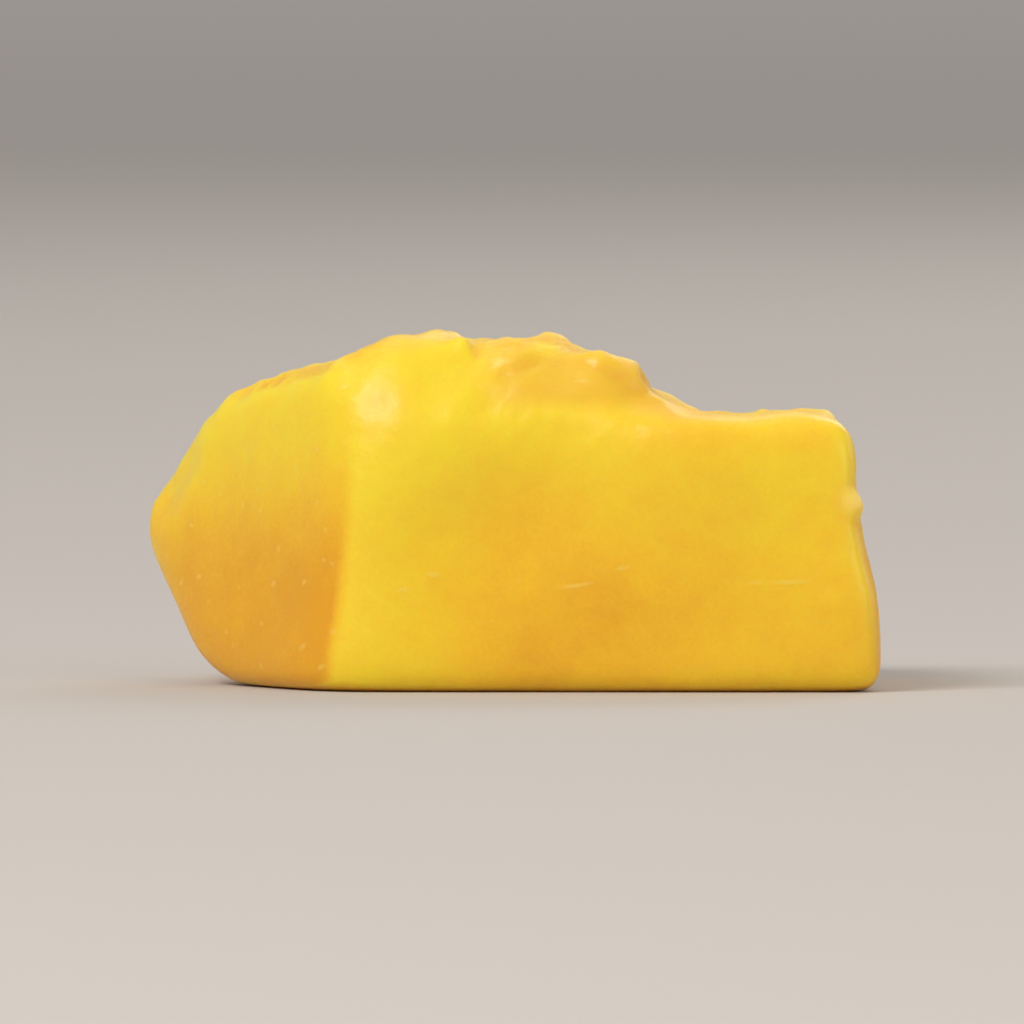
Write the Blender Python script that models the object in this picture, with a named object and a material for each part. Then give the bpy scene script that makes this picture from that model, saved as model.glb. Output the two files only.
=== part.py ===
"""A chunk of ripe mango flesh, cut by hand from a pared cheek of the fruit, at its real size.

Metres, +Z up. The chunk lies on its flat cut base, and the origin is the middle of the base of its
bounding box. The broad knife cut faces -Y and a second one faces left. The top is the rough side
that was pulled off the stone, highest at the front left and torn down to a lower shelf on the
right. The back is the rounded outside of the fruit, pared in flat strokes.

The flesh is what lies behind every cut at once. The cuts are blended, because soft flesh keeps no
sharp edge, and a box-shaped grid of points is thrown outwards from the middle onto that surface.
"""

import math

import bmesh
import bpy
import numpy as np

MM = 0.001

# Driving dimensions, in millimetres.
LENGTH = 37.8  # tip to tip, along X
DEPTH = 24.5  # from the front cut to the outside of the fruit, along Y
CREST = 18.4  # height of the rough side's crest
SHELF = 14.3  # height of the lower shelf on the right
TIP_HEIGHT = 8.3  # height at which the outside of the fruit bulges furthest
FRONT_LENGTH = 27.0  # foot of the front cut, along X
EDGE_BLEND = 0.63  # how softly the cuts run into each other; wears edges to a radius of about 1.5

# Knife cuts: the way that each faces, turned from +X seen from above, and degrees that it leans up.
FRONT_TURN, FRONT_LEAN = -90.0, 3.0
LEFT_TURN, LEFT_LEAN = 210.0, 6.5
RIGHT_TURN, RIGHT_LEAN = 5.0, 7.0
FRONT_HOLLOW = 0.45  # how far each cut dips in its middle
LEFT_HOLLOW = 0.25
RIGHT_HOLLOW = 0.35
HOLLOW_REACH = 7.15  # from the middle of a cut to where most of its dip is gone
WORN_EDGE = 0.6  # how far the upright edge between the front and left cuts is worn back

# The outside of the fruit.
CHEEK_HALF_LENGTH = 40.0  # half axes of the cheek's outline, seen from above
CHEEK_HALF_DEPTH = 26.25
CHEEK_MIDDLE_X = 8.0  # where along the chunk the cheek bulges furthest
BULGE_RADIUS = 1.3  # how tightly the outside turns under
STROKE_LEANS = (46.0, 32.0, 5.0, -22.0, -50.0)  # degrees up that each paring stroke faces
STROKE_TURNS = (122.0, 107.0, 92.0, 77.0)  # bends along each stroke

# The rough side.
HUMP_RISE = (-21.0, -3.0)  # along X, from the foot of the hump to its crest
HUMP_FALL = (3.6, 11.8)  # and from its crest down to the shelf
TEAR_FOOT, TEAR = -0.6, 3.2  # from the front edge back to the foot of the tear and to its crest
BACK_FALL = 0.08  # how far the rough side falls for each unit towards the back
SHELF_LIP = 0.5  # rise of the shelf at its right end
SHELF_LIP_RISE = (12.6, 15.75)  # where along X that rise lies
CRAG_SIZE = 4.2
CRAG_HEIGHT = 0.32
CRAG_SOFTNESS = 0.2  # how rounded the ridges between the crags are
CRAG_LEAST = 0.25  # share of the crags that is left on the shelf
CRAG_RISE = (-19.4, -14.6)  # along X, from smooth flesh at the tip to full crags
LUMP_STRETCH = 2.0  # how much longer a lump is along Y
LUMPS = (  # (x, distance behind the front edge, height, radius) of torn flesh on the crest
    (-9.4, 4.0, -0.50, 2.6),
    (-4.0, 3.2, 0.45, 1.7),
    (-0.6, 3.6, -0.20, 1.2),
    (0.2, 1.4, -0.25, 0.8),
    (2.0, 2.6, 0.45, 0.9),
    (6.2, 2.2, 0.50, 0.9),
    (7.8, 1.6, -0.20, 0.8),
)

# Grain and grid.
SWELL_SIZE = 11.0  # slow swelling of every side
SWELL_HEIGHT = 0.16
SWELL_FOOT = 4.8  # height over which the swelling fades in above the flat base
GRAIN_WAVES = 24
WAVE_SPREAD = (0.6, 1.4)  # how much shorter and longer than its size a grain's waves are
SEED = 7
GRID = (48, 24, 20)  # cells along X, Y and Z
EDGE_CROWDING = 0.07  # how much finer the grid is at the edges
HALVINGS = 34  # of the search along each ray
BASE_SNAP = 0.08  # what lies this near the base belongs to its flat

FLESH_COLOUR = (0.86, 0.52, 0.035, 1.0)
FLESH_ROUGHNESS = 0.34
FLESH_IOR = 1.36


def rise(value, low, high):
    """An even step from 0 to 1 while value goes from low to high."""
    t = np.clip((value - low) / (high - low), 0.0, 1.0)
    return t * t * (3.0 - 2.0 * t)


def facing(turn, lean):
    """The unit vector that faces turn degrees round from +X, and lean degrees up."""
    turn, lean = math.radians(turn), math.radians(lean)
    return np.array(
        (math.cos(turn) * math.cos(lean), math.sin(turn) * math.cos(lean), math.sin(lean))
    )


def grain(places, size):
    """Seeded, even noise around 0, mostly between -1 and 1, with features of about a size."""
    draw = np.random.default_rng(SEED)
    ways = draw.normal(size=(GRAIN_WAVES, 3))
    ways /= np.linalg.norm(ways, axis=1)[:, None]
    ways *= draw.uniform(*WAVE_SPREAD, size=(GRAIN_WAVES, 1))
    phases = draw.uniform(0.0, math.tau, size=GRAIN_WAVES)
    return np.cos(math.tau * places @ ways.T / size + phases).sum(axis=1) / math.sqrt(GRAIN_WAVES)


def knife_cuts():
    """(name, point, direction, hollow) of each flat cut."""
    corner = np.array((LENGTH / 2 - FRONT_LENGTH, -DEPTH / 2, 0.0))
    heel = np.array((LENGTH / 2, -DEPTH / 4, SHELF / 4))
    worn = facing((LEFT_TURN + FRONT_TURN + 360.0) / 2, (LEFT_LEAN + FRONT_LEAN) / 2)
    return (
        ("base", np.zeros(3), np.array((0.0, 0.0, -1.0)), 0.0),
        ("front", corner, facing(FRONT_TURN, FRONT_LEAN), FRONT_HOLLOW),
        ("left", corner, facing(LEFT_TURN, LEFT_LEAN), LEFT_HOLLOW),
        ("right", heel, facing(RIGHT_TURN, RIGHT_LEAN), RIGHT_HOLLOW),
        ("edge", corner - worn * WORN_EDGE, worn, 0.0),
    )


def paring_cut(turn, lean):
    """(point, direction) of one flat left by the paring knife, tangent to the rounded cheek."""
    side = facing(turn, 0.0)
    outwards = facing(turn, lean)
    reach = math.hypot(CHEEK_HALF_LENGTH * side[0], CHEEK_HALF_DEPTH * side[1])
    bulge = np.array((
        CHEEK_MIDDLE_X + CHEEK_HALF_LENGTH**2 * side[0] / reach,
        DEPTH / 2 - CHEEK_HALF_DEPTH + CHEEK_HALF_DEPTH**2 * side[1] / reach,
        TIP_HEIGHT,
    ))
    return bulge + (outwards - side) * BULGE_RADIUS, outwards


def rough_side(x, y):
    """Height of the side that was pulled off the stone."""
    behind = y + DEPTH / 2 - SHELF * math.tan(math.radians(FRONT_LEAN))
    hump = (CREST - SHELF) * rise(x, *HUMP_RISE) * (1.0 - rise(x, *HUMP_FALL))
    height = SHELF + SHELF_LIP * rise(x, *SHELF_LIP_RISE)
    height += hump * rise(behind, TEAR_FOOT, TEAR) - BACK_FALL * np.maximum(behind - TEAR, 0.0)
    for lump_x, lump_behind, lump_height, radius in LUMPS:
        away = (x - lump_x) ** 2 + ((behind - lump_behind) / LUMP_STRETCH) ** 2
        height += lump_height * np.exp(-away / radius**2)
    flat = np.stack((x, y, np.zeros_like(x)), axis=1)
    ridges = 0.5 - np.hypot(grain(flat, CRAG_SIZE), CRAG_SOFTNESS)
    torn = CRAG_LEAST + (1.0 - CRAG_LEAST) * rise(hump, 0.0, (CREST - SHELF) / 2)
    torn *= rise(x, *CRAG_RISE)
    return height + CRAG_HEIGHT * torn * ridges


def outside(places):
    """How far each place lies outside the flesh, or less than nothing inside it."""
    beyond = []
    middle = np.array((0.0, 0.0, SHELF / 2))
    for _, point, outwards, hollow in knife_cuts():
        across = places - middle
        across -= np.outer(across @ outwards, outwards)
        dip = np.exp(-(across**2).sum(axis=1) / HOLLOW_REACH**2)
        beyond.append((places - point) @ outwards + hollow * dip)
    for turn in STROKE_TURNS:
        for lean in STROKE_LEANS:
            point, outwards = paring_cut(turn, lean)
            beyond.append((places - point) @ outwards)
    beyond.append(places[:, 2] - rough_side(places[:, 0], places[:, 1]))
    blended = EDGE_BLEND * np.log(np.exp(np.array(beyond) / EDGE_BLEND).sum(axis=0))
    lifted = rise(places[:, 2], 0.0, SWELL_FOOT)
    return blended - SWELL_HEIGHT * lifted * grain(places, SWELL_SIZE)


def meeting(*planes):
    """The point where three planes meet."""
    normals = np.array([outwards for _, outwards in planes])
    return np.linalg.solve(normals, [point @ outwards for point, outwards in planes])


def cage_corners():
    """The corners that flat sides would give, by (x side, y side, level): base, half and shelf."""
    cuts = {name: (point, outwards) for name, point, outwards, _ in knife_cuts()}
    up = np.array((0.0, 0.0, 1.0))
    levels = (
        (cuts["base"], STROKE_LEANS[-1]),
        ((up * SHELF / 2, up), 0.0),
        ((up * SHELF, up), STROKE_LEANS[0]),
    )
    ends = ((cuts["left"], STROKE_TURNS[0]), (cuts["right"], STROKE_TURNS[-1]))
    corners = {}
    for x_side, (end, turn) in enumerate(ends):
        for number, (level, lean) in enumerate(levels):
            corners[x_side, 0, number] = meeting(cuts["front"], end, level)
            corners[x_side, 1, number] = meeting(paring_cut(turn, lean), end, level)
    return corners


def box_grid():
    """A box from -1 to 1 along each axis, divided into the grid's cells."""
    mesh = bmesh.new()
    bmesh.ops.create_cube(mesh, size=2.0)
    for axis, cells in enumerate(GRID):
        along = [
            edge for edge in mesh.edges if abs(edge.verts[0].co[axis] - edge.verts[1].co[axis]) > 1.0
        ]
        bmesh.ops.subdivide_edges(mesh, edges=along, cuts=cells - 1, use_grid_fill=True)
    return mesh


def spread_over_sides(places):
    """The box's points spread over the flat-sided chunk, a little closer together at its edges."""
    share = (places + EDGE_CROWDING * np.sin(math.pi * places) + 1.0) / 2.0
    x, y, z = share.T
    level_weights = ((1.0 - z) * (1.0 - 2.0 * z), 4.0 * z * (1.0 - z), z * (2.0 * z - 1.0))
    points = np.zeros_like(share)
    for (x_side, y_side, level), corner in cage_corners().items():
        weight = (x if x_side else 1.0 - x) * (y if y_side else 1.0 - y) * level_weights[level]
        points += weight[:, None] * corner
    return points


def throw_outwards(points):
    """Moves each point along its ray from the middle of the flesh onto the flesh's surface."""
    heart = points.mean(axis=0)
    near = np.zeros(len(points))
    far = np.full(len(points), 2.0)
    for _ in range(HALVINGS):
        middle = (near + far) / 2.0
        within = outside(heart + (points - heart) * middle[:, None]) < 0.0
        near = np.where(within, middle, near)
        far = np.where(within, far, middle)
    return heart + (points - heart) * near[:, None]


def rest_on_base(points):
    """Flattens the base, brings the whole to its named sizes and centres it over the origin."""
    points[:, 2] = np.maximum(points[:, 2] - BASE_SNAP, 0.0)
    low, high = points.min(axis=0), points.max(axis=0)
    points -= (low + high) / 2.0 * np.array((1.0, 1.0, 0.0))
    return points * np.array((LENGTH, DEPTH, CREST)) / (high - low)


def flesh_material():
    """Ripe flesh: golden yellow and moist."""
    material = bpy.data.materials.new("mango_flesh")
    material.use_nodes = True
    shader = material.node_tree.nodes["Principled BSDF"]
    shader.inputs["Base Color"].default_value = FLESH_COLOUR
    shader.inputs["Roughness"].default_value = FLESH_ROUGHNESS
    shader.inputs["IOR"].default_value = FLESH_IOR
    return material


def build():
    for old in list(bpy.data.objects):
        bpy.data.objects.remove(old)
    mesh = box_grid()
    places = np.array([corner.co for corner in mesh.verts])
    places = rest_on_base(throw_outwards(spread_over_sides(places)))
    for corner, place in zip(mesh.verts, places):
        corner.co = place * MM
    bmesh.ops.recalc_face_normals(mesh, faces=mesh.faces)
    data = bpy.data.meshes.new("mango_chunk")
    mesh.to_mesh(data)
    mesh.free()
    data.materials.append(flesh_material())
    data.shade_smooth()
    chunk = bpy.data.objects.new("mango_chunk", data)
    bpy.context.scene.collection.objects.link(chunk)


build()
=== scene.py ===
import math

import bmesh
import bpy
import numpy as np
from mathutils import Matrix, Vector


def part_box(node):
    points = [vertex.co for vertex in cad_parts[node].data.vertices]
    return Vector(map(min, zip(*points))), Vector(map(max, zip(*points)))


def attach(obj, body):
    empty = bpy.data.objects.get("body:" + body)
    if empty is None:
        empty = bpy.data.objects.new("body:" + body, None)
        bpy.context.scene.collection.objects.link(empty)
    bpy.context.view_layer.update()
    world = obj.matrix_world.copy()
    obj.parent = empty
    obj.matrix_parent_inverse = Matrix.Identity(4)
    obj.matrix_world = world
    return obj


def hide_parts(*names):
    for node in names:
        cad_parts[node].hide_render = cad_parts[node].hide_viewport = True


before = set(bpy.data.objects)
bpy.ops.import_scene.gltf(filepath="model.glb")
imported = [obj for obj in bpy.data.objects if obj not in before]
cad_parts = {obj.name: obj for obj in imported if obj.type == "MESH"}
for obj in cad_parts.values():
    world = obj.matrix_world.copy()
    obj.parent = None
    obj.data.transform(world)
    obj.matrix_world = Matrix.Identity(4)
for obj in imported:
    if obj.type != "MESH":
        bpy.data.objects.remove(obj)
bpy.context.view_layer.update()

# A chunk of ripe mango flesh, freshly cut: smooth moist knife cuts, a torn stone side with
# fibres and crags, and a rounded back where the skin was pared away.

mm = 0.001
low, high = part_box("mango_chunk")
size = high - low

scene = bpy.context.scene
scene.view_settings.view_transform = "Standard"  # keeps the yellow as clear as it is on a plate
scene.view_settings.look = "None"


def step(value, start, end):
    # even step from 0 at start to 1 at end, which may lie below it, for whole arrays
    t = np.clip((value - start) / (end - start), 0.0, 1.0)
    return t * t * (3.0 - 2.0 * t)


def readPoints(piece):
    # positions and normals of a mesh, in millimetres and as unit vectors
    count = len(piece.data.vertices)
    places = np.empty(count * 3, np.float32)
    normals = np.empty(count * 3, np.float32)
    piece.data.vertices.foreach_get("co", places)
    piece.data.vertices.foreach_get("normal", normals)
    return places.reshape(-1, 3).astype(float) / mm, normals.reshape(-1, 3).astype(float)


def makeActive(piece):
    if bpy.context.mode != "OBJECT":
        bpy.ops.object.mode_set(mode="OBJECT")
    bpy.ops.object.select_all(action="DESELECT")
    piece.select_set(True)
    bpy.context.view_layer.objects.active = piece


def applyModifier(piece, kind, **settings):
    makeActive(piece)
    modifier = piece.modifiers.new(kind.title(), kind)
    for name, value in settings.items():
        setattr(modifier, name, value)
    bpy.ops.object.modifier_apply(modifier=modifier.name)


def paintGroup(piece, name, weights):
    # a vertex group with its own weight at every point, rounded to hundredths
    group = piece.vertex_groups.new(name=name)
    hundredths = np.round(np.clip(weights, 0.0, 1.0) * 100).astype(int)
    for level in np.unique(hundredths[hundredths > 0]):
        group.add(np.nonzero(hundredths == level)[0].tolist(), level / 100, "REPLACE")


def storeNumbers(piece, name, numbers):
    attribute = piece.data.attributes.new(name, "FLOAT", "POINT")
    attribute.data.foreach_set("value", numbers.astype(np.float32))


# the flesh is grown finer from the solid
chunkShape = {
    "weldWithin": 0.002,         # mm between the solid's doubled points
    "squareUpTo": (40, 60),      # degrees out of flat and out of square at which triangles still join
    "baseUpTo": 0.12,            # mm: what lies lower belongs to the base
    "baseRings": (0.95, 0.93, 0.85, 0.6),  # each ring's size, of the one outside it
    "baseFade": (0.3, 1.6),      # mm above the base over which relief sets in
    "frontLean": math.tan(math.radians(3.0)),  # how far the front cut leans back as it rises
    "tornUp": (0.50, 0.80),      # how far up a side faces before it counts as torn
    "tornAbove": (8.0, 11.0),    # mm above the base
    "tornBehind": (0.6, 3.4),    # mm behind the front cut
    "tornFrom": (-17.0, -12.0),  # mm along x: the tip at the left is smooth
    "lumpAt": (-4.4, -6.0),      # the lump on the crest is smooth too
    "lumpReach": (3.0, 3.4),
    "lumpSmooth": 0.9,           # share of the torn side's relief that the lump goes without
    "paredBack": (0.20, 0.50),   # how far back a side faces before it counts as pared
    "fibreStretch": 7.0,         # fibres run along the fruit, so along x
}

# drags of single points, with the flesh around them following, as in proportional editing:
# the side that the point is seen from, where it is there, the drag and how far it reaches, mm
coarseDrags = (
    ("front", (-3.5, 17.9), (0.0, -0.12, 0.36), 2.0),   # smooth lump at the left of the crest
    ("top", (-8.6, -4.0), (0.0, 0.0, -0.34), 2.6),
    ("front", (-18.2, 10.4), (0.42, 0.0, -0.20), 2.6),  # straight upper side of the left tip
    ("front", (-17.1, 11.9), (0.26, 0.0, -0.26), 2.0),
    ("top", (-13.9, 0.4), (0.0, 0.0, 0.36), 2.4),
    ("top", (-9.9, -2.6), (0.0, 0.0, -0.22), 1.8),
    ("top", (8.7, -5.2), (0.0, 0.0, 0.30), 2.2),
    ("top", (12.0, -8.2), (0.0, 0.0, 0.20), 3.4),       # rim of the shelf
    ("front", (-6.8, 14.6), (-0.06, -0.05, 0.0), 2.4),  # swollen corner over the upright edge
    ("front", (4.9, 17.1), (0.0, -0.10, 0.38), 2.2),    # right shoulder of the hump
    ("front", (17.0, 13.2), (0.38, 0.0, 0.0), 3.2),     # upright top of the right edge
    ("front", (18.0, 7.6), (-0.15, 0.0, 0.0), 3.0),
)
fineDrags = (
    ("front", (-2.7, 18.0), (0.30, 0.0, 0.32), 1.1),    # end of the lump, before the step down
    ("top", (-3.4, -6.4), (0.0, 0.0, 0.50), 1.7),
    ("top", (-0.4, -6.0), (0.0, 0.0, -0.70), 2.2),      # dip right of the lump
    ("top", (2.2, -7.2), (0.0, -0.15, 0.30), 1.4),      # pale facet
    ("top", (0.9, -7.3), (0.0, 0.0, -0.16), 0.9),
    ("top", (3.8, -6.4), (0.0, 0.0, -0.34), 1.3),
    ("top", (-2.5, -6.0), (0.0, 0.0, 0.22), 0.8),
    ("top", (4.0, -3.4), (0.0, 0.0, -0.55), 2.8),
    ("top", (4.1, -7.9), (0.0, 0.0, -0.36), 1.1),
    ("top", (6.3, -8.6), (0.40, -0.10, 0.45), 1.7),     # nub at the right end of the hump
    ("front", (18.1, 9.8), (0.42, -0.30, 0.0), 1.1),    # bead on the right cut's edge
    ("front", (16.4, 5.2), (0.0, -0.07, 0.0), 0.9),
)

# where the flesh is smoothed: side, spot and reach in mm, and how many passes
smoothSpots = (
    ("front", (-0.8, 15.2), 1.8, 60),
)

# torn folds and paring marks: the side they show from, their line there, width, depth and the
# height of the lip on the line's left, all in mm
foldStrokes = (
    # under the facet, right of the lump and right of the nub
    ("front", ((-1.1, 16.1), (0.3, 16.45), (1.9, 17.1)), 0.40, 0.14, 0.10),
    ("front", ((-1.5, 16.9), (-1.9, 17.6), (-2.0, 18.7)), 0.35, 0.15, 0.12),
    ("front", ((8.8, 15.0), (7.7, 15.5), (6.9, 16.2), (6.8, 17.4)), 0.35, 0.28, 0.18),
    # along the foot of the hump's face, and across it
    ("front", ((0.4, 15.1), (3.2, 14.9), (6.2, 14.85), (9.4, 14.7)), 0.45, 0.07, 0.0),
    ("front", ((3.2, 17.1), (4.5, 16.5), (5.9, 15.7)), 0.38, 0.10, 0.04),
    # a broad swelling beside the upright edge: less than no depth is raised
    ("front", ((-3.4, 16.0), (-3.4, 10.0), (-3.6, 3.5)), 2.8, -0.10, 0.0),
    # between the paring strokes
    ("back", ((19.0, 11.6), (6.0, 11.2), (-6.0, 11.3), (-18.0, 10.9)), 0.42, 0.07, 0.05),
    ("back", ((19.0, 6.0), (5.0, 5.5), (-7.0, 5.7), (-16.0, 5.6)), 0.42, 0.07, 0.05),
    ("back", ((13.0, 13.9), (2.0, 13.5), (-9.5, 13.7)), 0.40, 0.06, 0.04),
    # the knife's nicks
    ("back", ((16.0, 8.8), (10.0, 8.6), (4.0, 8.7)), 0.30, 0.06, 0.03),
    ("back", ((-3.0, 8.2), (-7.0, 8.3), (-11.0, 8.2)), 0.30, 0.05, 0.03),
)
foldShape = {
    "seen": (0.05, 0.45),        # how far a side faces the stroke before it takes all of it
    "fade": 0.25,                # share of the line over which each end fades
    "lipAt": 1.5,                # the lip's place beside the line, in widths
}

# strands pulled out of the torn side, drawn at random along the fibres
strandMarks = {
    "seed": 11,
    "count": 26,
    "length": (4.0, 11.0),
    "points": 5,
    "wander": 0.5,               # how far a strand strays to either side
    "width": (0.28, 0.55),
    "depth": (0.06, 0.20),
    "lip": 0.7,                  # share of the depth that is raised beside it
    "x": (-14.0, 16.0),
    "y": (-8.5, 5.5),
}

# relief: the group it lies in, and the size of its features and its height in mm
fleshRelief = (
    {"name": "softLumps", "group": "torn", "kind": "CLOUDS", "size": 2.6, "height": 0.50,
     "settings": {"noise_depth": 1}},
    {"name": "crags", "group": "torn", "kind": "MUSGRAVE", "size": 1.6, "height": 0.16,
     "settings": {"musgrave_type": "RIDGED_MULTIFRACTAL", "octaves": 2.0, "noise_intensity": 0.6}},
    {"name": "fibres", "group": "torn", "kind": "CLOUDS", "size": 0.7, "height": 0.16,
     "settings": {"noise_depth": 1}, "drawnOut": True},
    {"name": "pared", "group": "pared", "kind": "CLOUDS", "size": 4.5, "height": 0.20,
     "settings": {"noise_depth": 1}},
    {"name": "softWaves", "group": "cut", "kind": "CLOUDS", "size": 5.0, "height": 0.12,
     "settings": {"noise_depth": 0}},
    {"name": "cutPulp", "group": "cut", "kind": "CLOUDS", "size": 0.9, "height": 0.05,
     "settings": {"noise_depth": 1}},
)


def copyOfSolid():
    # the solid's own mesh, with its doubles merged and its triangles joined to squares again
    shape = chunkShape
    flesh = bpy.data.objects.new("mangoFlesh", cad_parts["mango_chunk"].data.copy())
    scene.collection.objects.link(flesh)
    makeActive(flesh)
    bpy.ops.object.mode_set(mode="EDIT")
    bpy.ops.mesh.select_all(action="SELECT")
    bpy.ops.mesh.remove_doubles(threshold=shape["weldWithin"] * mm)
    outOfFlat, outOfSquare = np.radians(shape["squareUpTo"])
    bpy.ops.mesh.tris_convert_to_quads(face_threshold=outOfFlat, shape_threshold=outOfSquare)
    # the flat base becomes one face with even rings round it
    bpy.ops.mesh.select_all(action="DESELECT")
    mesh = bmesh.from_edit_mesh(flesh.data)
    base = [face for face in mesh.faces if face.normal.z < 0.0
            and max(point.co.z for point in face.verts) < shape["baseUpTo"] * mm]
    middle = sum((face.calc_center_median() * face.calc_area() for face in base), Vector())
    middle /= sum(face.calc_area() for face in base)
    for face in base:
        face.select_set(True)
    bmesh.update_edit_mesh(flesh.data)
    bpy.ops.mesh.dissolve_faces()
    for share in shape["baseRings"]:
        bpy.ops.mesh.extrude_region()
        bpy.ops.transform.resize(value=(share, share, 0.0), center_override=(middle.x, middle.y, 0.0))
    bpy.ops.object.mode_set(mode="OBJECT")
    bpy.ops.object.shade_smooth()
    return flesh


def sideShares(piece):
    # how much each point belongs to the torn side, the pared back and the knife cuts
    shape = chunkShape
    places, normals = readPoints(piece)
    behind = places[:, 1] - low.y / mm - places[:, 2] * shape["frontLean"]
    offBase = step(places[:, 2], *shape["baseFade"])
    pared = step(normals[:, 1], *shape["paredBack"])
    torn = step(normals[:, 2], *shape["tornUp"]) * (1.0 - pared) * step(places[:, 2], *shape["tornAbove"])
    torn *= step(behind, *shape["tornBehind"]) * step(places[:, 0], *shape["tornFrom"])
    fromLump = (places[:, :2] - shape["lumpAt"]) / shape["lumpReach"]
    torn *= 1.0 - shape["lumpSmooth"] * np.exp(-(fromLump ** 2).sum(axis=1) ** 2)
    return torn, pared * offBase, (1.0 - torn) * (1.0 - pared) * offBase


sides = {"front": (0, 2, 1, -1), "back": (0, 2, 1, 1), "top": (0, 1, 2, 1)}  # across, up, towards us


def pointSeenAt(places, side, spot, slack=0.3):
    # of the points nearest to the spot, within slack mm of each other, the one that shows
    across, up, towards, sign = sides[side]
    away = np.hypot(places[:, across] - spot[0], places[:, up] - spot[1])
    near = np.nonzero(away < away.min() + slack)[0]
    return int(near[np.argmax(places[near, towards] * sign)])


def selectPoints(piece, chosen):
    makeActive(piece)
    bpy.ops.object.mode_set(mode="EDIT")
    bpy.ops.mesh.select_all(action="DESELECT")
    mesh = bmesh.from_edit_mesh(piece.data)
    mesh.verts.ensure_lookup_table()
    for number in chosen:
        mesh.verts[number].select_set(True)
    bmesh.update_edit_mesh(piece.data)


def dragPoints(piece, drags):
    # each drag takes the nearest point that shows from its side
    for side, spot, drag, reach in drags:
        places, _ = readPoints(piece)
        selectPoints(piece, [pointSeenAt(places, side, spot)])
        bpy.ops.transform.translate(value=Vector(drag) * mm, use_proportional_edit=True,
                                    proportional_edit_falloff="SMOOTH", proportional_size=reach * mm)
        bpy.ops.object.mode_set(mode="OBJECT")


def smoothPoints(piece, spots):
    for side, spot, reach, passes in spots:
        places, _ = readPoints(piece)
        middle = places[pointSeenAt(places, side, spot)]
        selectPoints(piece, np.nonzero(np.linalg.norm(places - middle, axis=1) < reach)[0].tolist())
        bpy.ops.mesh.vertices_smooth(factor=0.5, repeat=passes)
        bpy.ops.object.mode_set(mode="OBJECT")


def drawStrands():
    # the strands as strokes seen from above
    marks = strandMarks
    draw = np.random.default_rng(marks["seed"])
    strokes = []
    for _ in range(marks["count"]):
        length = draw.uniform(*marks["length"])
        x, y = draw.uniform(*marks["x"]), draw.uniform(*marks["y"])
        steps = np.linspace(-0.5, 0.5, marks["points"])
        if draw.random() < 0.5:  # half of them have their lip on the other side
            steps = steps[::-1]
        line = [(x + t * length, y + draw.normal(0.0, marks["wander"])) for t in steps]
        depth = draw.uniform(*marks["depth"])
        strokes.append(("top", line, draw.uniform(*marks["width"]), depth, depth * marks["lip"]))
    return strokes


def foldFlesh(piece, strokes, allowed=1.0):
    # each stroke presses a groove into the side it shows from, and raises a lip beside it
    for side, line, width, depth, lip in strokes:
        across, up, towards, sign = sides[side]
        places, normals = readPoints(piece)
        seen = step(normals[:, towards] * sign, *foldShape["seen"])
        here = places[:, (across, up)]
        best = np.full(len(here), np.inf)
        leftward = np.zeros(len(here))
        reached = np.zeros(len(here))
        line = np.array(line, float)
        lengths = np.hypot(*np.diff(line, axis=0).T)
        for number, (start, end) in enumerate(zip(line[:-1], line[1:])):
            along = (end - start) / lengths[number]
            offset = here - start
            travel = np.clip(offset @ along, 0.0, lengths[number])
            away = np.hypot(*(offset - travel[:, None] * along).T)
            closer = away < best
            best = np.where(closer, away, best)
            turned = along[0] * offset[:, 1] - along[1] * offset[:, 0]
            leftward = np.where(closer, np.sign(turned) * away, leftward)
            reached = np.where(closer, (lengths[:number].sum() + travel) / lengths.sum(), reached)
        fade = step(reached, 0.0, foldShape["fade"]) * step(1.0 - reached, 0.0, foldShape["fade"])
        lips = lip * np.exp(-((leftward - foldShape["lipAt"] * width) / width) ** 2)
        shape = lips - depth * np.exp(-(best / width) ** 2)
        moved = places + normals * (shape * fade * seen * allowed)[:, None]
        piece.data.vertices.foreach_set("co", (moved * mm).astype(np.float32).ravel())
        piece.data.update()


def addRelief(flesh):
    # an empty stretched along x draws the fibres out
    bpy.ops.object.empty_add(location=(0.0, 0.0, 0.0))
    stretcher = bpy.context.active_object
    stretcher.scale = (chunkShape["fibreStretch"], 1.0, 1.0)
    bpy.context.view_layer.update()
    for layer in fleshRelief:
        texture = bpy.data.textures.new(layer["name"], layer["kind"])
        texture.noise_scale = layer["size"] * mm
        for name, value in layer["settings"].items():
            setattr(texture, name, value)
        coords = {"texture_coords": "LOCAL"}
        if layer.get("drawnOut"):
            coords = {"texture_coords": "OBJECT", "texture_coords_object": stretcher}
        applyModifier(flesh, "DISPLACE", texture=texture, strength=layer["height"] * mm,
                      mid_level=0.5, vertex_group=layer["group"], **coords)
    bpy.data.objects.remove(stretcher)


def edgeHighlightShares(piece):
    # how strongly the flesh bulges at each point, evened out over its neighbours; it sets where the edges
    # get a painted highlight
    places, normals = readPoints(piece)
    count = len(places)
    edges = np.empty(len(piece.data.edges) * 2, np.int32)
    piece.data.edges.foreach_get("vertices", edges)
    first, second = edges.reshape(-1, 2).T
    along = places[second] - places[first]
    turn = ((normals[second] - normals[first]) * along).sum(axis=1) / (along ** 2).sum(axis=1)
    joined = np.bincount(first, minlength=count) + np.bincount(second, minlength=count)

    def meanAt(onEdges):
        return (np.bincount(first, onEdges, count) + np.bincount(second, onEdges, count)) / joined

    bulge = meanAt(turn)
    for _ in range(ripenessAndShade["edgeRounds"]):
        bulge = (bulge + meanAt((bulge[first] + bulge[second]) / 2)) / 2
    return np.clip(bulge / ripenessAndShade["edgeFull"], 0.0, 1.0) * step(places[:, 2], *ripenessAndShade["edgeFoot"])
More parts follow.
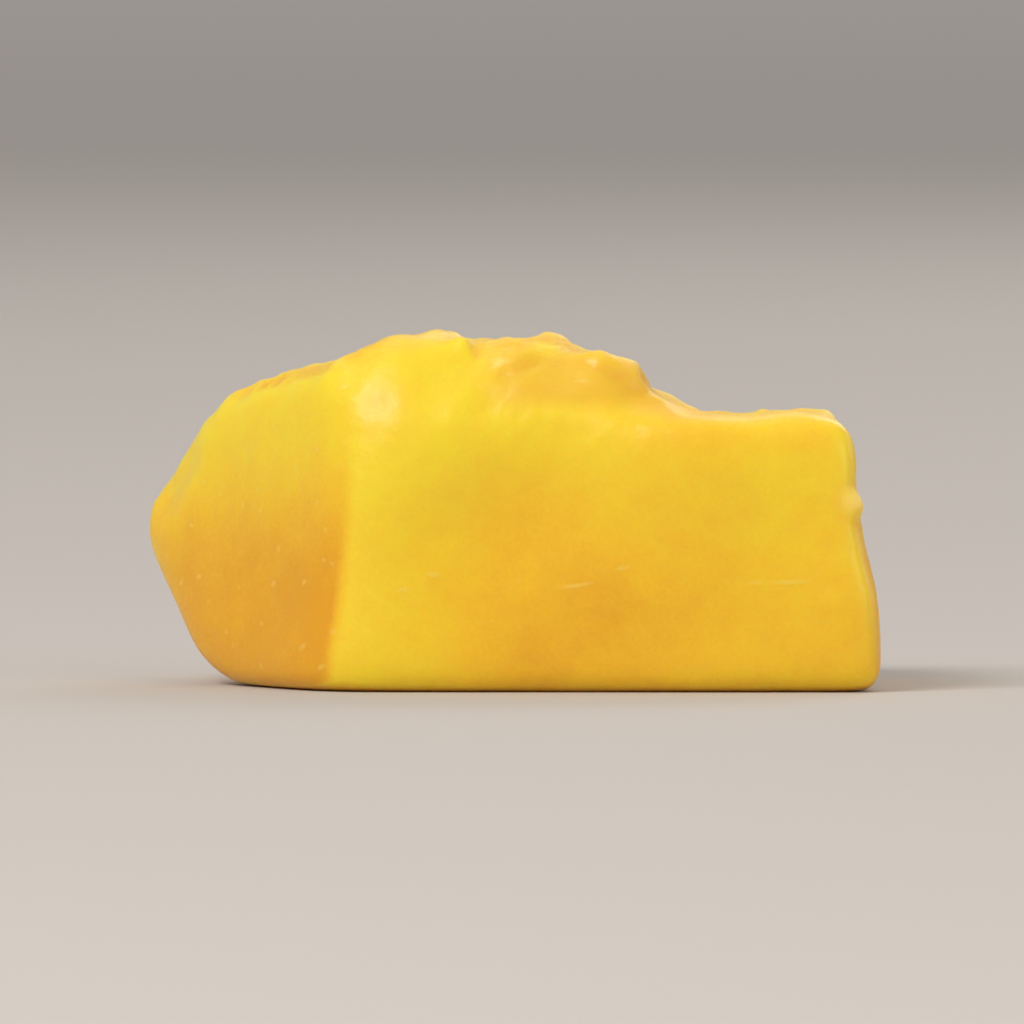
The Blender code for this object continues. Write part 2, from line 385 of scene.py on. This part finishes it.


# how orange the flesh is, from 0, yellow, to 1, deep orange; heights and distances in mm. It is partly the
# flesh's own tone and partly painted shade and painted light
ripenessAndShade = {
    "height": (14.5, 3.5),   # from the yellow rim down to the full tone; the deepening low down is partly painted shade
    "front": (0.16, 0.25),   # at the rim, and what comes on top of it low down
    "frontEdgeLight": 0.24,       # less beside the upright edge: painted light
    "frontEdgeX": (-8.0, -1.0),
    "shelfRim": 0.30,        # more under the rim of the shelf: painted shade
    "shelfRimX": (3.0, 8.0),
    "shelfRimHeight": (11.5, 14.0),
    "middle": 0.28,          # more in the middle of the front: painted shade
    "middleX": 3.0,
    "middleWidth": 7.5,
    # the left cut, yellow at its top and deep orange low down: mostly painted shade
    "left": (0.02, 0.98),
    "leftHeight": (15.5, 4.0),
    "leftFade": 0.25,        # the left cut's outer end is less orange by that share
    "leftFadeX": (-11.0, -21.0),
    # the other sides, deeper low down: partly painted shade
    "others": (0.44, 0.40),
    "pared": (0.52, 0.30),   # painted shade: the pared back is deeper orange
    "facingLeft": (0.42, 0.62),  # how far a side faces there before it takes all of that tone
    "facingFront": (0.30, 0.70),
    "facingBack": (0.20, 0.60),
    "edgeRounds": 12,        # how far the painted highlight of the bulging edges spreads
    "edgeFull": 0.50,        # bulge, 1/mm, at which an edge is palest
    "edgeFoot": (1.0, 5.0),  # the edges round the base get no painted highlight
}

# the hump's face right of the smooth lump is torn thin and tan, most so on its right slope, where the tan is
# also painted shade
tanFace = {
    "height": (14.0, 15.6),
    "from": (-2.6, 0.2),
    "slope": (6.0, 9.0),
    "to": (9.0, 12.0),
    "share": 0.55,           # at the facet, where the slope has all of it
    "tornTop": 0.45,         # and on the rest of the torn side
}

# spots of another tone: place and reach in mm, and how strong it is in the middle. They are painted shade,
# painted highlights and pale flesh
toneSpots = {
    "paintedDeepShare": (
        ((7.9, -9.0, 14.9), (1.1, 2.2, 0.70), 0.45),      # painted shade where the hump ends in the shelf
        # painted shade along the shelf's rim beside it
        ((9.8, -9.0, 14.5), (1.2, 2.2, 0.50), 0.45),
        ((-6.9, -11.1, 15.0), (1.8, 1.8, 1.8), 0.22),     # deeper under the highlight on the corner over the upright edge, to tint it peach: painted highlight colour
    ),
    "paleAndHighlightShare": (
        ((17.7, -11.5, 9.8), (0.75, 0.75, 0.65), 0.85),   # the bead: pale flesh and a painted highlight
        ((2.2, -7.6, 18.1), (1.1, 1.1, 1.1), 0.60),       # the facet on the crest: pale flesh and a painted highlight
        ((6.2, -8.9, 16.9), (0.55, 0.80, 0.45), 0.90),    # the nub's tip: pale flesh and a painted highlight
        # painted highlight on the corner over the upright edge
        ((-6.9, -11.1, 15.0), (1.2, 1.2, 1.2), 0.20),
    ),
    "paintedLightShare": (
        ((1.75, -8.6, 17.6), (0.75, 1.0, 0.40), 0.90),    # painted light on the facet's front edge
    ),
}


def spotShares(piece, spots):
    places, _ = readPoints(piece)
    share = np.zeros(len(places))
    for middle, reach, strength in spots:
        away = (((places - middle) / reach) ** 2).sum(axis=1)
        share = np.maximum(share, strength * np.exp(-away))
    return share


# the flesh's own tone, with painted shade low down, on the left cut and on the back, and painted light
# beside the upright edge
def toneAndShadeShares(piece):
    tone = ripenessAndShade
    places, normals = readPoints(piece)
    x, _, z = places.T
    lowDown = step(z, *tone["height"])
    middle = tone["middle"] * np.exp(-((x - tone["middleX"]) / tone["middleWidth"]) ** 2)
    front = tone["front"][0] + (tone["front"][1] + middle) * lowDown
    front -= tone["frontEdgeLight"] * (1.0 - step(x, *tone["frontEdgeX"]))
    front += tone["shelfRim"] * step(x, *tone["shelfRimX"]) * step(z, *tone["shelfRimHeight"])
    inwards = 1.0 - tone["leftFade"] * step(x, *tone["leftFadeX"])
    left = tone["left"][0] + tone["left"][1] * inwards * step(z, *tone["leftHeight"])
    back = tone["pared"][0] + tone["pared"][1] * lowDown
    share = tone["others"][0] + tone["others"][1] * lowDown
    share += (back - share) * step(normals[:, 1], *tone["facingBack"])
    share += (front - share) * step(-normals[:, 1], *tone["facingFront"])
    share += (left - share) * step(-normals[:, 0], *tone["facingLeft"])
    return share


def tanShares(piece, torn):
    places, _ = readPoints(piece)
    x, _, z = places.T
    onHump = step(z, *tanFace["height"]) * step(x, *tanFace["from"]) * (1.0 - step(x, *tanFace["to"]))
    onHump *= tanFace["share"] + (1.0 - tanFace["share"]) * step(x, *tanFace["slope"])
    return np.maximum(onHump, tanFace["tornTop"] * torn)


def makeFlesh():
    flesh = copyOfSolid()
    applyModifier(flesh, "SUBSURF", levels=1, render_levels=1)
    dragPoints(flesh, coarseDrags)
    applyModifier(flesh, "SUBSURF", levels=1, render_levels=1)
    smoothPoints(flesh, smoothSpots)
    dragPoints(flesh, fineDrags)
    print("flesh grown,", len(flesh.data.polygons), "faces")
    before, normals = readPoints(flesh)
    foldFlesh(flesh, drawStrands(), sideShares(flesh)[0])
    foldFlesh(flesh, foldStrokes)
    print("strands and folds pressed in")
    torn, pared, cut = sideShares(flesh)
    paintGroup(flesh, "torn", torn)
    paintGroup(flesh, "pared", pared)
    paintGroup(flesh, "cut", cut)
    storeNumbers(flesh, "toneAndShadeShare", toneAndShadeShares(flesh))
    storeNumbers(flesh, "edgeHighlightShare", edgeHighlightShares(flesh))
    addRelief(flesh)
    print("relief raised")
    after, _ = readPoints(flesh)
    storeNumbers(flesh, "tanShare", tanShares(flesh, torn))
    for name, spots in toneSpots.items():
        storeNumbers(flesh, name, spotShares(flesh, spots))
    storeNumbers(flesh, "tornShare", torn)
    storeNumbers(flesh, "paredShare", pared)
    storeNumbers(flesh, "crestHeight", ((after - before) * normals).sum(axis=1))
    return flesh


def linear(code):
    # sRGB hex to linear colour
    parts = [int(code[i:i + 2], 16) / 255 for i in (1, 3, 5)]
    return [p / 12.92 if p <= 0.04045 else ((p + 0.055) / 1.055) ** 2.4 for p in parts] + [1.0]


def addNode(tree, kind, output=None, inputs=None, **settings):
    # links or sets the inputs, and gives back the output asked for, or the node itself
    node = tree.nodes.new(kind)
    for name, value in settings.items():
        setattr(node, name, value)
    for name, value in (inputs or {}).items():
        if isinstance(value, bpy.types.NodeSocket):
            tree.links.new(value, node.inputs[name])
        else:
            node.inputs[name].default_value = value
    return node if output is None else node.outputs[output]


# a term is a pattern's or a painted share's name, the range of it that is read, what that range
# turns to, and the name of what it is multiplied by
fleshLook = {
    "brightYellow": "#fedd31",
    "golden": "#f6c727",
    "deepOrange": "#e7a81f",
    "paleFibre": "#fde074",
    "tornTan": "#e7b43c",
    # pale flesh, also used for painted highlights
    "paleScrapHighlight": "#f9ce78",
    "patterns": {            # length and width of their features in mm, and detail
        "patches": (6.0, 6.0, 1.0),
        "mottle": (1.3, 1.3, 2.0),
        "grain": (0.22, 0.22, 2.0),                      # coarser than real, so that it shows
        "streaks": (3.2, 0.30, 1.0),                     # fringes of the torn side
        "drags": (16.0, 0.24, 1.0),                      # lines left by the paring knife's edge
    },
    "wander": (5.0, 1.1),    # mm over which fibres stray, and how far
    "fibreBand": 0.12,       # how near a streak is to its middle value where a fibre begins
    "fibreSharpness": 3.0,
    "fibres": ("mottle", 0.35, 0.65, 0.0, 1.0, "fibreLines"),
    "strandSpacing": 2.0,    # mm between the single strands that a cut shows
    "strandRadius": (0.08, 0.20),
    "strands": ("mottle", 0.40, 0.60, 0.1, 1.0, "strandDots"),
    "tone": (                # unevenness on top of the painted tone and shade
        ("patches", 0.3, 0.7, -0.10, 0.10, None),
        ("mottle", 0.3, 0.7, -0.06, 0.06, None),
        ("grain", 0.3, 0.7, -0.05, 0.05, None),
        ("edgeHighlightShare", 0.0, 1.0, 0.0, -0.18, None),       # painted highlight: bulging edges are paler
    ),
    "layers": (              # colours laid over the yellow in turn, each where its term says
        ("golden", "tone", 0.0, 0.5, 0.0, 1.0, None),
        ("deepOrange", "tone", 0.5, 1.0, 0.0, 1.0, None),
        ("tornTan", "tanShare", 0.0, 1.0, 0.0, 1.0, None),
        ("deepOrange", "crestHeight", -0.22, 0.0, 0.60, 0.0, "tornShare"),  # painted shade in the folds' bottoms
        ("paleFibre", "crestHeight", 0.02, 0.24, 0.0, 0.65, "tornShare"),   # and their tops
        ("paleFibre", "tornShare", 0.0, 1.0, 0.05, 0.40, "fibres"),
        ("paleFibre", "tornShare", 0.0, 1.0, 0.36, 0.0, "strands"),
        ("deepOrange", "paintedDeepShare", 0.0, 1.0, 0.0, 1.0, None),
        ("paleScrapHighlight", "paleAndHighlightShare", 0.0, 1.0, 0.0, 1.0, None),
        ("brightYellow", "paintedLightShare", 0.0, 1.0, 0.0, 1.0, None),
    ),
    "relief": (              # mm, finer than the mesh
        ("tornShare", 0.0, 1.0, 0.014, 0.022, "grain"),
        ("tornShare", 0.0, 1.0, 0.0, 0.050, "fibres"),
        ("tornShare", 0.0, 1.0, 0.03, 0.12, "mottle"),
        ("tornShare", 0.0, 1.0, 0.012, 0.0, "strands"),
        ("paredShare", 0.0, 1.0, 0.0, 0.016, "drags"),
    ),
    "roughness": (
        ("patches", 0.3, 0.7, 0.34, 0.44, None),
        ("grain", 0.3, 0.7, -0.05, 0.06, None),
        ("tornShare", 0.0, 1.0, 0.0, 0.16, None),
    ),
    "juice": (
        ("tornShare", 0.0, 1.0, 0.32, 0.10, None),       # the torn side soaks its juice up
    ),
    "shader": {
        "IOR": 1.38,
        "Subsurface Weight": 0.8,
        "Subsurface Radius": (1.0, 0.50, 0.10),
        "Subsurface Scale": 1.5 * mm,                    # how far red light travels in the flesh
        "Coat Roughness": 0.24,
        "Coat IOR": 1.34,
    },
}


def addTerms(tree, values, terms, total=None):
    # the terms' sum, on top of a total if there is one
    for name, *span, factor in terms:
        ranges = dict(zip(("From Min", "From Max", "To Min", "To Max"), span))
        term = addNode(tree, "ShaderNodeMapRange", 0, {"Value": values[name], **ranges})
        if factor:
            term = addNode(tree, "ShaderNodeMath", 0, {0: values[factor], 1: term}, operation="MULTIPLY")
        if total is not None:
            term = addNode(tree, "ShaderNodeMath", 0, {0: total, 1: term}, operation="ADD")
        total = term
    return total


def ripeFleshMaterial():
    # ripe mango flesh, knife cut and moist: saturated yellow that glows a little at its edges,
    # with faint fibres, under a thin film of juice
    look = fleshLook
    material = bpy.data.materials.new("ripeMangoFlesh")
    material.use_nodes = True
    tree = material.node_tree
    tree.nodes.clear()

    # places in mm, and the same places strayed to either side
    inMetres = addNode(tree, "ShaderNodeTexCoord", "Object")
    inMm = addNode(tree, "ShaderNodeVectorMath", 0, {0: inMetres, 1: [1 / mm] * 3}, operation="MULTIPLY")
    wanderLength, wander = look["wander"]
    strayed = addNode(tree, "ShaderNodeTexNoise", "Color",
                      {"Vector": inMm, "Scale": 1 / wanderLength, "Detail": 0.0})
    for operation, other in (("SUBTRACT", [0.5] * 3), ("MULTIPLY", [2 * wander] * 3), ("ADD", inMm)):
        strayed = addNode(tree, "ShaderNodeVectorMath", 0, {0: strayed, 1: other}, operation=operation)

    values = {}
    for name in ("toneAndShadeShare", "edgeHighlightShare", "tanShare", "tornShare", "paredShare", "crestHeight", *toneSpots):
        values[name] = addNode(tree, "ShaderNodeAttribute", "Fac", attribute_name=name)
    for name, (length, width, detail) in look["patterns"].items():
        places = strayed if name == "streaks" else inMm
        drawnOut = addNode(tree, "ShaderNodeVectorMath", 0, {0: places, 1: (width / length, 1.0, 1.0)},
                           operation="MULTIPLY")
        values[name] = addNode(tree, "ShaderNodeTexNoise", "Fac",
                               {"Vector": drawnOut, "Scale": 1 / width, "Detail": detail})

    # single fibres lie where the streaks cross their middle value
    line = values["streaks"]
    for operation, other in (("SUBTRACT", 0.5), ("ABSOLUTE", 0.0), ("DIVIDE", -look["fibreBand"]),
                             ("ADD", 1.0), ("MAXIMUM", 0.0), ("POWER", look["fibreSharpness"])):
        line = addNode(tree, "ShaderNodeMath", 0, {0: line, 1: other}, operation=operation)
    values["fibreLines"] = line
    values["fibres"] = addTerms(tree, values, (look["fibres"],))

    # strands run nearly straight along x, so they show as lines on the front and as dots on the ends
    axes = addNode(tree, "ShaderNodeSeparateXYZ", None, {0: strayed}).outputs
    endOn = addNode(tree, "ShaderNodeCombineXYZ", 0, {0: axes[1], 1: axes[2]})
    values["fromStrand"] = addNode(tree, "ShaderNodeTexVoronoi", "Distance",
                                   {"Vector": endOn, "Scale": 1 / look["strandSpacing"]},
                                   voronoi_dimensions="2D")
    inner, outer = [radius / look["strandSpacing"] for radius in look["strandRadius"]]
    values["strandDots"] = addTerms(tree, values, (("fromStrand", inner, outer, 1.0, 0.0, None),))
    values["strands"] = addTerms(tree, values, (look["strands"],))

    values["tone"] = addTerms(tree, values, look["tone"], values["toneAndShadeShare"])
    colour = linear(look["brightYellow"])
    under, over, mixed = 6, 7, 2  # the mix's sockets for colours
    for name, *term in look["layers"]:
        share = addTerms(tree, values, (term,))
        colour = addNode(tree, "ShaderNodeMix", mixed,
                         {"Factor": share, under: colour, over: linear(look[name])}, data_type="RGBA")
    bump = addNode(tree, "ShaderNodeBump", 0, {"Height": addTerms(tree, values, look["relief"]),
                                               "Strength": 1.0, "Distance": mm})
    shader = addNode(tree, "ShaderNodeBsdfPrincipled", 0, {
        "Base Color": colour, "Roughness": addTerms(tree, values, look["roughness"]),
        "Coat Weight": addTerms(tree, values, look["juice"]), "Normal": bump, "Coat Normal": bump,
        **look["shader"]})
    addNode(tree, "ShaderNodeOutputMaterial", None, {"Surface": shader})
    return material


# floor, light and camera
studio = {
    "floorSize": 12.0,           # m
    "floorColour": "#c4beb9",
    "floorRoughness": 0.85,
    "floorSpecular": 0.2,
    "worldColour": "#e9e6e3",
    "worldStrength": 0.44,
    "cameraDistance": 1.25,      # m, as the photograph was taken
    "cameraHeight": 2.0,         # degrees above level
    "viewWidth": 52.5,           # mm across the picture at the front plane
    "frontPlane": -10.0,         # mm along y, where the front cut and the crest lie
    "sensorWidth": 36.0,         # mm
    "clip": (0.05, 40.0),        # m
    "lights": {
        "keyLight": {"from": (-0.50, -0.58, 0.70), "size": 0.50, "power": 7.2, "colour": "#fffaf4"},
        "topLight": {"from": (0.05, 0.15, 0.80), "size": 0.50, "power": 0.6, "colour": "#ffffff",
                     "gloss": 0.0},
        "backLight": {"from": (0.40, 0.80, 0.60), "size": 0.50, "power": 2.0, "colour": "#fffaf4",
                      "gloss": 0.5},
        "rightLight": {"from": (0.95, 0.35, 0.30), "size": 0.50, "power": 1.0, "colour": "#fffdfb",
                       "gloss": 0.7},
        "fillLight": {"from": (0.65, -0.60, 0.30), "size": 0.50, "power": 1.42, "colour": "#fffdfb"},
        "roomLight": {"from": (0.0, 2.8, 2.2), "to": (0.0, 3.0, 0.0), "size": 1.6, "power": 12.0,
                      "colour": "#ffffff", "gloss": 0.0},
    },
}


def makeFloor():
    bpy.ops.mesh.primitive_plane_add(size=studio["floorSize"])
    floor = bpy.context.active_object
    floor.name = "paleFloor"
    material = bpy.data.materials.new("paleMatteBoard")  # matte painted board, no gloss
    material.use_nodes = True
    shader = material.node_tree.nodes["Principled BSDF"]
    shader.inputs["Base Color"].default_value = linear(studio["floorColour"])
    shader.inputs["Roughness"].default_value = studio["floorRoughness"]
    shader.inputs["Specular IOR Level"].default_value = studio["floorSpecular"]
    floor.data.materials.append(material)


def makeLights():
    target = Vector((0.0, 0.0, size.z / 2))
    world = bpy.data.worlds.new("softRoom")
    world.use_nodes = True
    background = world.node_tree.nodes["Background"]
    background.inputs["Color"].default_value = linear(studio["worldColour"])
    background.inputs["Strength"].default_value = studio["worldStrength"]
    scene.world = world
    for name, light in studio["lights"].items():
        spot = Vector(light["from"])
        bpy.ops.object.light_add(type="AREA", location=spot)
        lamp = bpy.context.active_object
        lamp.name = name
        lamp.rotation_euler = (Vector(light.get("to", target)) - spot).to_track_quat("-Z", "Y").to_euler()
        lamp.data.shape = "SQUARE"
        lamp.data.size = light["size"]
        lamp.data.energy = light["power"]
        lamp.data.color = linear(light["colour"])[:3]
        lamp.data.specular_factor = light.get("gloss", 1.0)


def makeCamera():
    target = Vector((0.0, studio["frontPlane"] * mm, size.z / 2))
    tilt = math.radians(studio["cameraHeight"])
    back = Vector((0.0, -math.cos(tilt), math.sin(tilt)))
    bpy.ops.object.camera_add(location=target + back * studio["cameraDistance"])
    camera = bpy.context.active_object
    camera.name = "photoCamera"
    camera.rotation_euler = (-back).to_track_quat("-Z", "Y").to_euler()
    camera.data.sensor_width = studio["sensorWidth"]
    camera.data.lens = studio["sensorWidth"] * studio["cameraDistance"] / (studio["viewWidth"] * mm)
    camera.data.clip_start, camera.data.clip_end = studio["clip"]
    scene.camera = camera


makeFloor()
makeLights()
makeCamera()
print("floor, lights and camera ready")

mangoFlesh = makeFlesh()
mangoFlesh.data.materials.clear()
mangoFlesh.data.materials.append(ripeFleshMaterial())
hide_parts("mango_chunk")
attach(mangoFlesh, "root")
print("flesh coloured, and riding on its body")
